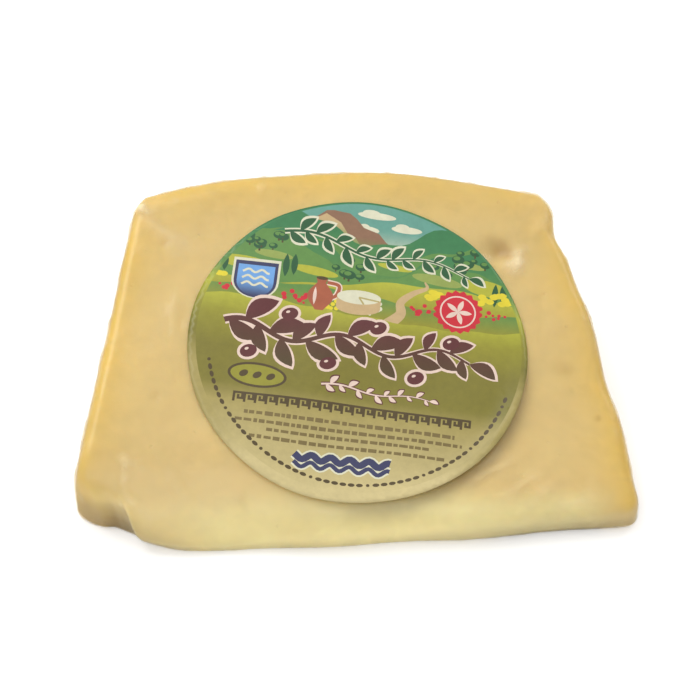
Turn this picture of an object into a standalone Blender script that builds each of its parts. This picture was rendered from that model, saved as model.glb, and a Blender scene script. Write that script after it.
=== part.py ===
"""A vacuum-packed piece of a small kefalotyri wheel with a round sticker, in metres, +Z up.

The piece is a sector of the wheel and lies on one of its two cut faces. The other cut face slants
up from the trimmed tip, at -Y, to the rind of the wheel's rim, at +Y. The wheel's two flat sides
are the piece's left and right sides. The origin is the middle of its box, on the ground.
"""

import math

import bmesh
import bpy
import numpy as np

# The wheel that the piece is cut from. Its axis lies along X, on the ground, in front of the tip.
WHEEL_RADIUS = 0.1388
RIM_BULGE = 0.0080
AXIS_HALF_HEIGHT = 0.0785
SIDE_TAPER = 0.1880
SIDE_BULGE = 0.0004
SIDE_LEAN = 0.00075
CUT_ANGLE = math.radians(16.5)
CUT_ROLL = math.radians(2.6)
TIP_FROM_AXIS = 0.0397
TIP_BULGE = 0.0030
TIP_SHIFT = 0.0018

# The sticker, and where its middle lies along the slanting cut face.
LABEL_DIAMETER = 0.085
LABEL_FROM_AXIS = 0.0847
LABEL_OFFSET_X = 0.0013
LABEL_THICKNESS = 0.0004
LABEL_GAP = 0.00035
LABEL_RINGS = 9
LABEL_SECTORS = 48

# Radii of the rounded edges.
SIDE_RADIUS = 0.0048
TIP_RADIUS = 0.0062
RIM_RADIUS = 0.0070
TOP_RADIUS_AT_TIP = 0.0062
TOP_RADIUS_AT_RIM = 0.0045
BASE_RADIUS = 0.0022

# The steeper facet at the front left. It starts at a ridge that runs level along X and then
# bends towards the tip, round the sticker.
FACET_STRAIGHT_Y = -0.0280
FACET_TURN_X = -0.0340
FACET_RUN = 0.55
FACET_DROP = 0.52
FACET_BLEND = 0.0035

# The front left corner, cut back on the diagonal. To the right of its turn the top overhangs the
# ground, and to the left of it the cut is upright. At the far left a small spur is left standing.
CORNER_DIRECTION = math.radians(240.0)
CORNER_REACH_TOP = 0.0680
CORNER_REACH_BASE = 0.0610
CORNER_TURN_X = -0.0610
CORNER_TURN_RUN = 0.0060
CORNER_BLEND = 0.0025
CORNER_SPUR = 0.0015
CORNER_SPUR_X = -0.0640
CORNER_SPUR_RUN = 0.0050

# Broad unevenness of the cheese under the film.
WAVE_HEIGHT = 0.00035
WAVE_LENGTH_X = 0.047
WAVE_LENGTH_Y = 0.038
SIDE_WAVE = 0.0004
SIDE_WAVE_LENGTH = 0.027
TIP_WAVE = 0.0003
TIP_WAVE_LENGTH = 0.036

# A shallow nick in the right side, near the rim.
NICK_BACK = 0.86
NICK_WIDTH = 0.06
NICK_DEPTH = 0.0020

# A small dent at the right of the sticker.
DENT_X = 0.0365
DENT_Y = 0.0265
DENT_WIDTH = 0.0032
DENT_DEPTH = 0.0014

# The unit block that is cut into faces and then shaped. Its outer fifths become the round edges.
EDGE_ZONE = 0.2
EDGE_STEPS = 3
MIDDLE_STEPS = (26, 20, 5)

# From the sticker's middle to the middle of the box.
MIDDLE_X = -0.00201
MIDDLE_Y = 0.00643

# From the wheel's axis to the sticker's middle, along the ground.
LABEL_Y = LABEL_FROM_AXIS * math.cos(CUT_ANGLE)

# Colours and shading.
CHEESE_COLOUR = (0.78, 0.53, 0.24)
CHEESE_ROUGHNESS = 0.35
LABEL_COLOUR = (0.33, 0.30, 0.08)
LABEL_ROUGHNESS = 0.4
SHARP_ANGLE = math.radians(40.0)
ON_GROUND = 1e-7


def remove_everything():
    """Empties the scene."""
    for item in list(bpy.data.objects):
        bpy.data.objects.remove(item, do_unlink=True)


def smoothly(value):
    """Rises from 0 to 1 as the value does, level at both ends."""
    value = np.clip(value, 0.0, 1.0)
    return value * value * (3.0 - 2.0 * value)


def softened(value, blend):
    """The value where it is positive and 0 elsewhere, with the bend rounded over."""
    return 0.5 * (value + np.sqrt(value * value + blend * blend))


def block_cuts(steps):
    """Where one axis of the unit block is cut, with equal turns in its two edge zones."""
    turns = [math.tan(0.25 * math.pi * k / EDGE_STEPS) for k in range(1, EDGE_STEPS)]
    low = [EDGE_ZONE * (1.0 - turn) for turn in reversed(turns)]
    high = [1.0 - place for place in reversed(low)]
    middle = [EDGE_ZONE + (1.0 - 2.0 * EDGE_ZONE) * k / steps for k in range(steps + 1)]
    return low + middle + high


def cut_block():
    """The unit block, from 0 to 1 along each axis, cut into a grid of faces."""
    bm = bmesh.new()
    bmesh.ops.create_cube(bm, size=1.0)
    bmesh.ops.translate(bm, vec=(0.5, 0.5, 0.5), verts=bm.verts)
    for axis, steps in enumerate(MIDDLE_STEPS):
        normal = np.eye(3)[axis]
        for place in block_cuts(steps):
            everything = bm.verts[:] + bm.edges[:] + bm.faces[:]
            bmesh.ops.bisect_plane(bm, geom=everything, plane_co=normal * place, plane_no=normal)
    return bm


def along(middle, turn, low, high):
    """A place from 0 to 1 on an axis whose round edges have these two radii."""
    return low + middle * (1.0 - low - high) + turn * np.where(turn < 0.0, low, high)


def sector(block):
    """Points of the unit block moved onto the wheel's sector, and how far across, back and up."""
    reach = (block - np.clip(block, EDGE_ZONE, 1.0 - EDGE_ZONE)) / EDGE_ZONE
    turn = reach / np.linalg.norm(reach, axis=1, keepdims=True)
    middle = np.clip((block - EDGE_ZONE) / (1.0 - 2.0 * EDGE_ZONE), 0.0, 1.0)
    depth = WHEEL_RADIUS - TIP_FROM_AXIS
    back = along(middle[:, 1], turn[:, 1], TIP_RADIUS / depth, RIM_RADIUS / depth)
    height = (TIP_FROM_AXIS + back * depth) * math.tan(CUT_ANGLE)
    top_radius = TOP_RADIUS_AT_TIP + (TOP_RADIUS_AT_RIM - TOP_RADIUS_AT_TIP) * smoothly(back)
    up = along(middle[:, 2], turn[:, 2], BASE_RADIUS / height, top_radius / height)
    side_radius = SIDE_RADIUS / (2.0 * AXIS_HALF_HEIGHT)
    across = 2.0 * along(middle[:, 0], turn[:, 0], side_radius, side_radius) - 1.0
    tilt = np.arctan(up * math.tan(CUT_ANGLE))
    rim = (WHEEL_RADIUS - RIM_BULGE * across**2) * np.cos(tilt)
    tip = TIP_FROM_AXIS - TIP_BULGE * (1.0 - across**2)
    y = tip + back * (rim - tip)
    z = y * np.tan(tilt)
    belly = np.sin(math.pi * back)
    x = across * (AXIS_HALF_HEIGHT - SIDE_TAPER * np.hypot(y, z) + SIDE_BULGE * belly)
    x = x - LABEL_OFFSET_X - TIP_SHIFT * (1.0 - back) + SIDE_LEAN * belly
    return np.stack([x, y - LABEL_Y, z], axis=1), across, back, up


def wave(place, length):
    """Runs between -1 and 1, once for each wave length."""
    return np.sin(2.0 * math.pi * place / length)


def broad_height(x, y):
    """Height over the ground of the cut face where the sticker lies, with its broad waves."""
    z = (y + LABEL_Y) * math.tan(CUT_ANGLE) - x * math.tan(CUT_ROLL)
    return z + WAVE_HEIGHT * wave(x, WAVE_LENGTH_X) * wave(y, WAVE_LENGTH_Y)


def cut_face_height(x, y):
    """Height over the ground of the whole cut face, with its facet and dent too."""
    ridge = FACET_STRAIGHT_Y - FACET_RUN * softened(x - FACET_TURN_X, FACET_BLEND)
    facet = FACET_DROP * softened(ridge - y, FACET_BLEND)
    away = np.hypot(x - DENT_X, y - DENT_Y)
    dent = DENT_DEPTH * np.exp(-((away / DENT_WIDTH) ** 2))
    return broad_height(x, y) - facet - dent


def wedge_points(block):
    """Points of the unit block moved onto the packed piece, from below the sticker's middle."""
    points, across, back, up = sector(block)
    x, y, z = points.T
    z = z * cut_face_height(x, y) / ((y + LABEL_Y) * math.tan(CUT_ANGLE))
    nick = NICK_DEPTH * np.exp(-(((back - NICK_BACK) / NICK_WIDTH) ** 2))
    x = x + smoothly(across) * (SIDE_WAVE * wave(y, SIDE_WAVE_LENGTH) - nick)
    y = y + TIP_WAVE * (1.0 - back) ** 3 * wave(x, TIP_WAVE_LENGTH)
    toward = math.cos(CORNER_DIRECTION), math.sin(CORNER_DIRECTION)
    overhang = (CORNER_REACH_TOP - CORNER_REACH_BASE) * up
    limit = CORNER_REACH_BASE + overhang * smoothly((x - CORNER_TURN_X) / CORNER_TURN_RUN)
    limit = limit + CORNER_SPUR * smoothly((CORNER_SPUR_X - x) / CORNER_SPUR_RUN)
    beyond = softened(x * toward[0] + y * toward[1] - limit, CORNER_BLEND)
    return np.stack([x - beyond * toward[0], y - beyond * toward[1], z], axis=1)


def make_wedge():
    """The cheese in its film, as one solid."""
    bm = cut_block()
    block = np.array([vert.co[:] for vert in bm.verts])
    points = wedge_points(block) - (MIDDLE_X, MIDDLE_Y, 0.0)
    for vert, point in zip(bm.verts, points):
        vert.co = point
    base = [face for face in bm.faces if all(vert.co.z < ON_GROUND for vert in face.verts)]
    bmesh.ops.dissolve_faces(bm, faces=base, use_verts=True)
    return bm


def add_object(name, bm, colour, roughness):
    """Makes a mesh object of this name and puts it in the scene, shaded smooth."""
    bmesh.ops.recalc_face_normals(bm, faces=bm.faces)
    mesh = bpy.data.meshes.new(name)
    bm.to_mesh(mesh)
    bm.free()
    mesh.shade_smooth()
    mesh.set_sharp_from_angle(angle=SHARP_ANGLE)
    item = bpy.data.objects.new(name, mesh)
    bpy.context.collection.objects.link(item)
    material = bpy.data.materials.new(name)
    material.use_nodes = True
    shader = material.node_tree.nodes["Principled BSDF"]
    shader.inputs["Base Color"].default_value = (*colour, 1.0)
    shader.inputs["Roughness"].default_value = roughness
    shader.inputs["Metallic"].default_value = 0.0
    mesh.materials.append(material)
    return item


def label_point(radius, angle, lift):
    """A point of the sticker, this high over the cut face."""
    x = radius * math.cos(angle) * math.cos(CUT_ROLL)
    y = radius * math.sin(angle) * math.cos(CUT_ANGLE)
    return x - MIDDLE_X, y - MIDDLE_Y, broad_height(x, y) + lift


def make_label():
    """The round sticker, which follows the cut face."""
    bm = bmesh.new()
    layers = []
    for lift in (LABEL_GAP, LABEL_GAP + LABEL_THICKNESS):
        rings = [[bm.verts.new(label_point(0.0, 0.0, lift))]]
        for ring in range(1, LABEL_RINGS + 1):
            radius = 0.5 * LABEL_DIAMETER * ring / LABEL_RINGS
            angles = [2.0 * math.pi * k / LABEL_SECTORS for k in range(LABEL_SECTORS)]
            rings.append([bm.verts.new(label_point(radius, angle, lift)) for angle in angles])
        for inner, outer in zip(rings, rings[1:]):
            for k in range(LABEL_SECTORS):
                after = (k + 1) % LABEL_SECTORS
                corners = [inner[k % len(inner)], outer[k], outer[after], inner[after % len(inner)]]
                bm.faces.new(list(dict.fromkeys(corners)))
        layers.append(rings[-1])
    for k in range(LABEL_SECTORS):
        after = (k + 1) % LABEL_SECTORS
        bm.faces.new([layers[0][k], layers[0][after], layers[1][after], layers[1][k]])
    return bm


remove_everything()
add_object("wedge", make_wedge(), CHEESE_COLOUR, CHEESE_ROUGHNESS)
add_object("label", make_label(), LABEL_COLOUR, LABEL_ROUGHNESS)
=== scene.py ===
"""Looks of a vacuum-packed wedge of kefalotyri: the cheese, its clear film and a round sticker.

The cheese is a sector of a small wheel that lies on one cut face. The film is sucked tight to it,
and the sticker lies on the film over the upper cut face. Sizes are in metres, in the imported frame.
"""

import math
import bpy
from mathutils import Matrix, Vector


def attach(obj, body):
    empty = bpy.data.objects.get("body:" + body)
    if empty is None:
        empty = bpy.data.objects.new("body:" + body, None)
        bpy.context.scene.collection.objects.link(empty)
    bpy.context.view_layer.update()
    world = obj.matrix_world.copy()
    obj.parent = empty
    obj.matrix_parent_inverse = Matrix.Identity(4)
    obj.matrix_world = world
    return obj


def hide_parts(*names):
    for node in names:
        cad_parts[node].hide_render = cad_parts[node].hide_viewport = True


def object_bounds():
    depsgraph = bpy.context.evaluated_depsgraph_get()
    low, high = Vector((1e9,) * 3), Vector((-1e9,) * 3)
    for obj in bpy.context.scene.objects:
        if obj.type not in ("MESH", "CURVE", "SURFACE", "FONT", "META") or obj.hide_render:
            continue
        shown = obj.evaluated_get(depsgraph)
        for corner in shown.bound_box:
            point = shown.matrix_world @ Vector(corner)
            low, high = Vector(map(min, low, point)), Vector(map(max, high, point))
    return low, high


bl_info = {
    "name": "Packed Cheese Wedge",
    "version": (1, 0, 0),
    "blender": (4, 5, 0),
    "location": "3D View > Sidebar > Cheese",
    "description": "Builds a wedge of hard cheese in clear vacuum film, with a printed sticker",
    "category": "Add Mesh",
}

from collections import namedtuple

import bmesh
import bpy
import numpy as np
from bpy.props import FloatProperty, FloatVectorProperty, IntProperty, PointerProperty
from bpy.types import Operator, Panel, PropertyGroup
from mathutils import Vector, noise
from mathutils.geometry import delaunay_2d_cdt

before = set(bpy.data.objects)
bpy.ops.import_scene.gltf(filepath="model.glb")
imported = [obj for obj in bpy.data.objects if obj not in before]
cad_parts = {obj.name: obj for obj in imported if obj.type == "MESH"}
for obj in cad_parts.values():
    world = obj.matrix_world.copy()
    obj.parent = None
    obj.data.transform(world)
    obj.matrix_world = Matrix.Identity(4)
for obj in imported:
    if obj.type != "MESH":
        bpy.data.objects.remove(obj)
CAD_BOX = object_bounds()

BODY = "root"
MM = 0.001
ON_GROUND = 1e-6
WHITE = (1.0, 1.0, 1.0, 1.0)

# How finely the skins of the cheese and of the film are cut, and their round edges.
CHEESE_CUTS, CHEESE_EDGE_CUTS = (118, 96, 20), 6
FILM_CUTS, FILM_EDGE_CUTS = (220, 176, 26), 8

# The outer fifths of the unit block that every skin starts from become its rounded edges.
EDGE_ZONE = 0.2

# A crease of the film: a soft raised fold between two places on the cut face, measured in
# millimetres from the sticker's middle, with its height and width and how milky it is: partly the
# film's own whitening and partly a painted highlight.
Crease = namedtuple("Crease", "start end height width haze")
CREASES = (
    Crease((-54.5, 39.5), (-36.0, 24.5), 0.40, 3.2, 0.28),
    Crease((-56.0, 35.0), (-45.0, 19.0), 0.22, 2.4, 0.04),
    Crease((-55.0, 41.5), (-50.5, 37.5), 0.30, 1.5, 0.75),
    Crease((-21.5, 48.5), (-22.6, 42.5), 0.20, 1.4, 0.12),
    Crease((-44.6, 17.0), (-45.2, 1.0), 0.24, 1.8, 0.08),
    Crease((-60.0, 2.0), (-63.5, -16.0), 0.20, 2.4, 0.04),
    Crease((53.0, 38.0), (45.5, 28.0), 0.26, 2.0, 0.08),
    Crease((45.5, 30.0), (40.5, 19.5), 0.34, 1.9, 0.40),
    Crease((54.0, 8.0), (46.5, 2.0), 0.18, 2.6, 0.04),
    Crease((36.5, -25.5), (26.0, -33.5), 0.28, 1.9, 0.14),
    Crease((40.5, -27.5), (20.5, -39.5), 0.34, 1.8, 0.16),
    Crease((45.5, -31.5), (31.5, -41.0), 0.34, 1.8, 0.16),
    Crease((50.0, -34.0), (37.5, -43.0), 0.28, 1.9, 0.10),
    Crease((58.0, -40.2), (44.0, -41.5), 0.28, 1.7, 0.16),
    Crease((-61.5, -27.0), (-52.0, -28.5), 0.30, 1.7, 0.16),
    Crease((-61.0, -33.0), (-52.5, -37.5), 0.30, 1.8, 0.10),
    Crease((-51.0, -25.0), (-41.0, -38.0), 0.22, 2.6, 0.03),
    Crease((-34.0, -35.0), (-20.0, -42.5), 0.18, 2.6, 0.03),
    Crease((-30.0, -43.2), (14.0, -43.8), 0.28, 1.9, 0.12),
    Crease((-20.0, -40.6), (2.0, -41.0), 0.18, 1.8, 0.03),
)

# A hollow of the cheese: its place as for a crease, its depth and width in millimetres, and how
# dark its painted shade is inside.
Hollow = namedtuple("Hollow", "place depth width dark")
HOLLOWS = (
    Hollow((38.3, 27.9), 0.6, 2.3, 0.60),
    Hollow((40.4, 26.2), 0.4, 1.5, 0.35),
    Hollow((36.0, 30.0), 0.2, 2.0, 0.12),
    Hollow((50.9, -5.5), 0.3, 2.2, 0.16),
    Hollow((52.8, -6.2), 0.3, 1.2, 0.12),
    Hollow((58.5, -18.9), 0.3, 0.7, 0.45),
    Hollow((-47.5, 30.0), 0.3, 1.3, 0.08),
    Hollow((-50.5, -12.0), 0.3, 1.1, 0.10),
    Hollow((-30.5, -36.5), 0.3, 1.3, 0.10),
    Hollow((20.0, -39.5), 0.3, 1.0, 0.10),
    Hollow((47.5, 14.0), 0.3, 1.1, 0.08),
    Hollow((6.0, 47.0), 0.3, 1.1, 0.08),
)

# A swelling of the film: its place, its height and width in millimetres, and how bright its painted
# highlight is.
Swelling = namedtuple("Swelling", "place height width haze")
SWELLINGS = (
    Swelling((42.6, 23.6), 0.45, 2.0, 0.45),
    Swelling((41.3, 22.0), 0.30, 1.9, 0.55),
    Swelling((-58.0, -27.5), 0.32, 1.5, 0.16),
    Swelling((-58.3, -31.0), 0.36, 1.6, 0.30),
    Swelling((-56.7, -35.8), 0.36, 2.0, 0.16),
    Swelling((-53.0, -39.0), 0.30, 2.2, 0.08),
    Swelling((-63.5, -25.0), 0.20, 2.6, 0.04),
    Swelling((42.5, -36.5), 0.30, 2.0, 0.10),
    Swelling((34.0, -31.5), 0.24, 2.2, 0.08),
    Swelling((55.0, -37.5), 0.26, 2.4, 0.08),
    Swelling((62.0, -33.0), 0.18, 2.8, 0.03),
    Swelling((-43.0, -35.0), 0.20, 2.8, 0.03),
    Swelling((-53.8, 40.2), 0.30, 1.6, 0.45),
    Swelling((50.0, 35.0), 0.22, 2.8, 0.04),
)

# The shade that the ground and the tucked film throw on the front wall: at each place across, in
# millimetres, how dark it is at the ground and how high it reaches.
Shade = namedtuple("Shade", "place dark height")
SHADES = (
    Shade(-68.0, 0.36, 14.0),
    Shade(-65.6, 0.40, 14.0),
    Shade(-62.0, 0.60, 14.0),
    Shade(-58.5, 0.66, 14.0),
    Shade(-54.5, 0.60, 9.5),
    Shade(-49.0, 0.45, 7.5),
    Shade(-40.0, 0.30, 4.5),
    Shade(8.0, 0.32, 5.0),
    Shade(30.0, 0.42, 9.0),
    Shade(48.0, 0.46, 10.0),
    Shade(60.0, 0.46, 10.0),
    Shade(69.0, 0.45, 9.0),
)
SIDE_SHADE = Shade(0.0, 0.25, 5.0)

# The front wall ends this far up the face, within this blend.
FRONT_END, FRONT_BLEND = -33.0, 7.0

# The painted shade of the undercut at the foot of the front wall: where it starts and ends across,
# each with its blend, how dark it is, and from which height it fades, with its blend.
Undercut = namedtuple("Undercut", "start start_blend end end_blend dark height height_blend")
UNDERCUT = Undercut(24.0, 14.0, 56.0, 3.0, 0.62, 1.1, 1.4)

# Which way the sticker's raised edge throws its shade, and how far round it runs to both sides.
SHADE_DIRECTION, SHADE_SPREAD = math.radians(-58.0), math.radians(66.0)

# What is left of the light and its colours in the deepest shade.
DEEP_SHADE = (0.07, 0.03, 0.0, 1.0)

# Folds of the tight film: how many to the metre, how they are drawn out along each axis, how wide
# they are, and how far from the others their pattern is read.
Fold = namedtuple("Fold", "rate stretch width shift")
LEANING_FOLDS = Fold(85.0, (1.0, 1.0, 0.35), 0.10, 0.0)
FINE_FOLDS = Fold(240.0, (1.0, 1.0, 0.50), 0.14, 0.5)
GATHERED_FOLDS = Fold(130.0, (1.0, 1.0, 1.0), 0.10, 0.2)

# The film is flat under the sticker. Outside this radius, within this blend, it is creased.
BARE_FROM, BARE_BLEND = 0.0405, 0.002

# How far in from the rind's edges the film is still gathered.
GATHER_REACH = 0.0035

# The bulk of a noise texture's values lies between these two.
NOISE_LOW, NOISE_HIGH = 0.3, 0.7

# A stretch of land in the print: how low it goes, how far to both sides, and its points.
LAND_FLOOR, LAND_REACH, LAND_POINTS = -60.0, 46.0, 47

# The floor's half side, and how far below the ground it lies.
FLOOR_HALF, FLOOR_DROP = 3.0, 0.0001

# Pixels across and down the picture.
FRAME_PIXELS = 700


def length(name, description, default):
    """A size in metres that a user may change."""
    return FloatProperty(name=name, description=description, default=default, unit="LENGTH", precision=5)


def slant(name, description, degrees):
    """An angle that a user may change."""
    return FloatProperty(name=name, description=description, default=math.radians(degrees), subtype="ANGLE")


def colour(name, description, default):
    """A screen colour that a user may change."""
    return FloatVectorProperty(
        name=name, description=description, default=default, subtype="COLOR_GAMMA", min=0.0, max=1.0
    )


def share(name, description, default):
    """A plain number that a user may change."""
    return FloatProperty(name=name, description=description, default=default)


class WedgeForm(PropertyGroup):
    """Sizes of the wedge, the same as those of its solid."""

    wheel_radius: length("Wheel Radius", "From the wheel's axis to its rim", 0.1388)
    rim_bulge: length("Rim Bulge", "How far the rim's middle stands out past its corners", 0.0080)
    axis_half_height: length("Half Height at Axis", "Half the wheel's height at its axis", 0.0785)
    side_taper: share("Side Taper", "How fast each side closes in towards the rim", 0.1880)
    side_bulge: length("Side Bulge", "How far each side bulges between the tip and the rim", 0.0004)
    side_lean: length("Side Lean", "How far both sides bend to the right there", 0.00075)
    cut_angle: slant("Cut Angle", "Between the two cut faces", 16.5)
    cut_roll: slant("Cut Roll", "Fall of the upper cut face to the right", 2.6)
    tip_from_axis: length("Tip from Axis", "Where the tip is trimmed off", 0.0397)
    tip_bulge: length("Tip Bulge", "How far the trimmed tip's middle stands out", 0.0030)
    tip_shift: length("Tip Shift", "How far the tip lies to the left", 0.0018)
    side_radius: length("Side Edge Radius", "Round edge along the sides", 0.0048)
    tip_radius: length("Tip Edge Radius", "Round edge at the tip", 0.0062)
    rim_radius: length("Rim Edge Radius", "Round edge at the rim", 0.0070)
    top_radius_at_tip: length("Top Radius at Tip", "Round upper edge at the tip", 0.0062)
    top_radius_at_rim: length("Top Radius at Rim", "Round upper edge at the rim", 0.0045)
    base_radius: length("Base Radius", "Round lower edge", 0.0022)
    facet_straight_y: length("Facet Start", "Where the steeper facet starts at the left", -0.0280)
    facet_turn_x: length("Facet Turn", "Where the facet's ridge bends to the tip", -0.0340)
    facet_run: share("Facet Run", "How fast the bent ridge nears the tip", 0.55)
    facet_drop: share("Facet Drop", "How steep the facet is past the cut face", 0.52)
    facet_blend: length("Facet Blend", "How softly the ridge bends", 0.0035)
    corner_direction: slant("Corner Direction", "Which way the cut corner faces", 240.0)
    corner_reach_top: length("Corner Reach at Top", "Where the corner is cut at its top", 0.0680)
    corner_reach_base: length("Corner Reach at Base", "Where the corner is cut at the ground", 0.0610)
    corner_turn_x: length("Corner Turn", "Where the corner starts to overhang the ground", -0.0610)
    corner_turn_run: length("Corner Turn Run", "How far it takes to overhang in full", 0.0060)
    corner_blend: length("Corner Blend", "How softly the corner is cut", 0.0025)
    corner_spur: length("Corner Spur", "What is left standing at the far left of the corner", 0.0015)
    corner_spur_x: length("Corner Spur Start", "Where the spur starts", -0.0640)
    corner_spur_run: length("Corner Spur Run", "How far it takes to stand out in full", 0.0050)
    wave_height: length("Wave Height", "Broad unevenness of the cut face", 0.00035)
    wave_length_x: length("Wave Length X", "Length of the broad waves across", 0.047)
    wave_length_y: length("Wave Length Y", "Length of the broad waves up the face", 0.038)
    side_wave: length("Side Wave", "Unevenness of the right side", 0.0004)
    side_wave_length: length("Side Wave Length", "Length of the waves on the right side", 0.027)
    tip_wave: length("Tip Wave", "Unevenness of the tip", 0.0003)
    tip_wave_length: length("Tip Wave Length", "Length of the waves on the tip", 0.036)
    nick_back: share("Nick Place", "Where the right side is nicked, from the tip to the rim", 0.86)
    nick_width: share("Nick Width", "Size of the nick, as a share of the way", 0.06)
    nick_depth: length("Nick Depth", "Depth of the nick", 0.0020)
    dent_x: length("Dent X", "Place of the dent across", 0.0365)
    dent_y: length("Dent Y", "Place of the dent up the face", 0.0265)
    dent_width: length("Dent Width", "Size of the dent", 0.0032)
    dent_depth: length("Dent Depth", "Depth of the dent", 0.0014)
    middle_x: length("Middle X", "From the sticker's middle to the box's middle", -0.00201)
    middle_y: length("Middle Y", "From the sticker's middle to the box's middle", 0.00643)
    label_from_axis: length("Sticker from Axis", "Along the cut face to the sticker's middle", 0.0847)
    label_offset_x: length("Sticker Offset", "How far the sticker lies to the right", 0.0013)


class CheeseLooks(PropertyGroup):
    """Finish of the cheese."""

    inset: length("Inset", "How far the cheese lies inside the film", 0.00020)
    paste: colour("Paste", "Colour of the cut face", (0.908, 0.812, 0.582))
    golden: colour("Golden", "Colour of the cut face near the rind", (0.925, 0.795, 0.400))
    # The pale colour is partly young paste at the tip and partly a painted sheen of the film on the front
    # roll and the facet.
    pale: colour("Pale", "Colour of the young paste at the tip", (0.965, 0.915, 0.700))
    rind: colour("Rind", "Colour of the rind", (0.870, 0.755, 0.465))
    rind_dark: colour("Dark Rind", "Colour of the rind's hollows", (0.845, 0.720, 0.430))
    # The colour of the painted shade inside the small hollows.
    hollow: colour("Hollow", "Colour inside the small hollows", (0.700, 0.535, 0.220))
    rind_reach: length("Rind Reach", "How far the golden colour reaches in from the rind", 0.0085)
    roughness: share("Roughness", "Roughness of the paste", 0.55)
    scatter: share("Scatter", "How much light spreads inside the paste", 0.25)
    scatter_scale: length("Scatter Scale", "How far light spreads inside the paste", 0.004)
    pit_depth: length("Pit Depth", "Depth of the small pits in the paste", 0.0003)
    lumps: length("Lumps", "Height of the low lumps of the paste", 0.00022)
    shade: share("Shade", "How dark it is beside the sticker's raised edge", 0.34)
    shade_from: length("Shade Start", "From the sticker's middle to where this shade starts to fade", 0.0425)
    shade_reach: length("Shade Reach", "How far the shade beside the sticker reaches", 0.0024)


class FilmLooks(PropertyGroup):
    """Finish of the vacuum film."""

    inset: length("Inset", "How far the tight film lies inside the wedge's outline", 0.00010)
    wall_inset: length("Wall Inset", "The same, on the sides and the rim", 0.00006)
    crease_scale: share("Crease Scale", "Height of the creases, as a share of their own", 1.0)
    ripple: length("Ripple", "Height of the fine ripples of the tight film", 0.00006)
    pleat: length("Pleat", "Height of the pleats on the sides and the rim", 0.00030)
    gather: length("Gather", "Height of the folds at the corners of the cut face", 0.00030)
    roughness: share("Roughness", "Roughness of the film's gloss", 0.24)
    shine: share("Shine", "How strongly the film mirrors", 0.55)
    # The film's milkiness is partly its own whitening where it is gathered and partly a painted highlight on
    # creases, swellings and round the upper edges.
    haze: share("Haze", "How milky the film is where it is gathered", 0.80)
    edge_haze_and_highlight: share("Edge Haze", "How milky it is round the upper edges, as a share of that", 0.12)
    tint: colour("Tint", "Colour of the light through the film", (0.995, 0.990, 0.965))
    # The colour of that milkiness, for the whitening and the painted highlights alike.
    milk_and_highlight: colour("Milk", "Colour of the film where it is milky", (0.990, 0.930, 0.765))


class LabelLooks(PropertyGroup):
    """Sizes and colours of the sticker."""

    diameter: length("Diameter", "Across the sticker", 0.085)
    gap: length("Gap", "From the wedge's outline to the sticker's top", 0.00030)
    thickness: length("Thickness", "Of the sticker", 0.00018)
    lift: length("Lift", "How far its edge stands off at the lower right", 0.00120)
    lift_reach: length("Lift Reach", "How far in from the edge it stands off", 0.0070)
    turn: slant("Turn", "How far the print is turned on the cut face", -9.0)
    grid: length("Grid", "Spacing of the points between the print's outlines", 0.0011)
    cream: colour("Cream", "Border of the sticker", (0.785, 0.720, 0.505))
    stone: colour("Stone", "Lower field", (0.690, 0.630, 0.405))
    khaki: colour("Khaki", "Field below the middle band", (0.640, 0.580, 0.330))
    olive: colour("Olive", "Middle band", (0.565, 0.545, 0.150))
    olive_dark: colour("Dark Olive", "Lower part of the middle band", (0.480, 0.450, 0.140))
    meadow: colour("Meadow", "Bright fields", (0.680, 0.680, 0.200))
    field: colour("Field", "Pale fields", (0.560, 0.620, 0.300))
    hill: colour("Hill", "Near hills", (0.360, 0.530, 0.250))
    hill_dark: colour("Dark Hill", "Far hills", (0.210, 0.470, 0.280))
    tree: colour("Tree", "Trees and leaves", (0.130, 0.330, 0.180))
    sky: colour("Sky", "Sky", (0.380, 0.600, 0.540))
    cloud: colour("Cloud", "Clouds and pale outlines", (0.840, 0.830, 0.720))
    rock: colour("Rock", "Bare mountain", (0.540, 0.400, 0.300))
    scree: colour("Scree", "Sunlit side of the mountain and of the cheese wheel", (0.760, 0.650, 0.470))
    clay: colour("Clay", "Jug", (0.640, 0.340, 0.220))
    red: colour("Red", "Plain seal and poppies", (0.780, 0.130, 0.190))
    blue: colour("Blue", "Plain shield", (0.420, 0.620, 0.840))
    navy: colour("Navy", "Wave band and shield's edge", (0.200, 0.210, 0.350))
    maroon: colour("Maroon", "Large sprig", (0.360, 0.150, 0.150))
    blush: colour("Blush", "Outline of the large sprig", (0.880, 0.780, 0.720))
    brown: colour("Brown", "Fine ornament", (0.300, 0.240, 0.100))
    faint: colour("Faint", "Thin rows", (0.460, 0.395, 0.215))
    yellow: colour("Yellow", "Broom in flower", (0.860, 0.790, 0.170))


class StageLooks(PropertyGroup):
    """Camera, lamps and floor."""

    elevation: slant("Elevation", "Height of the camera over the ground, as an angle", 46.5)
    azimuth: slant("Azimuth", "Camera's turn round the wedge", -3.5)
    distance: length("Distance", "From the camera to the sticker's middle", 0.520)
    lens: share("Lens", "Focal length in millimetres", 107.0)
    label_at_x: IntProperty(name="Sticker X", description="Column of the sticker's middle", default=358)
    label_at_y: IntProperty(name="Sticker Y", description="Row of the sticker's middle", default=349)
    floor: colour("Floor", "Colour of the floor", (0.955, 0.955, 0.955))
    floor_light: share("Floor Light", "How strongly the floor glows, as a light table does", 0.28)
    sky_strength: share("Sky Strength", "Soft light from above", 0.74)
    horizon_strength: share("Horizon Strength", "Soft light from the sides", 0.62)
    key_power: share("Key Power", "Large soft lamp, in watts", 3.6)
    fill_power: share("Fill Power", "Soft front lamp, in watts", 1.3)
    rim_power: share("Rim Power", "Small lamp at the back right, in watts", 1.0)


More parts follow.
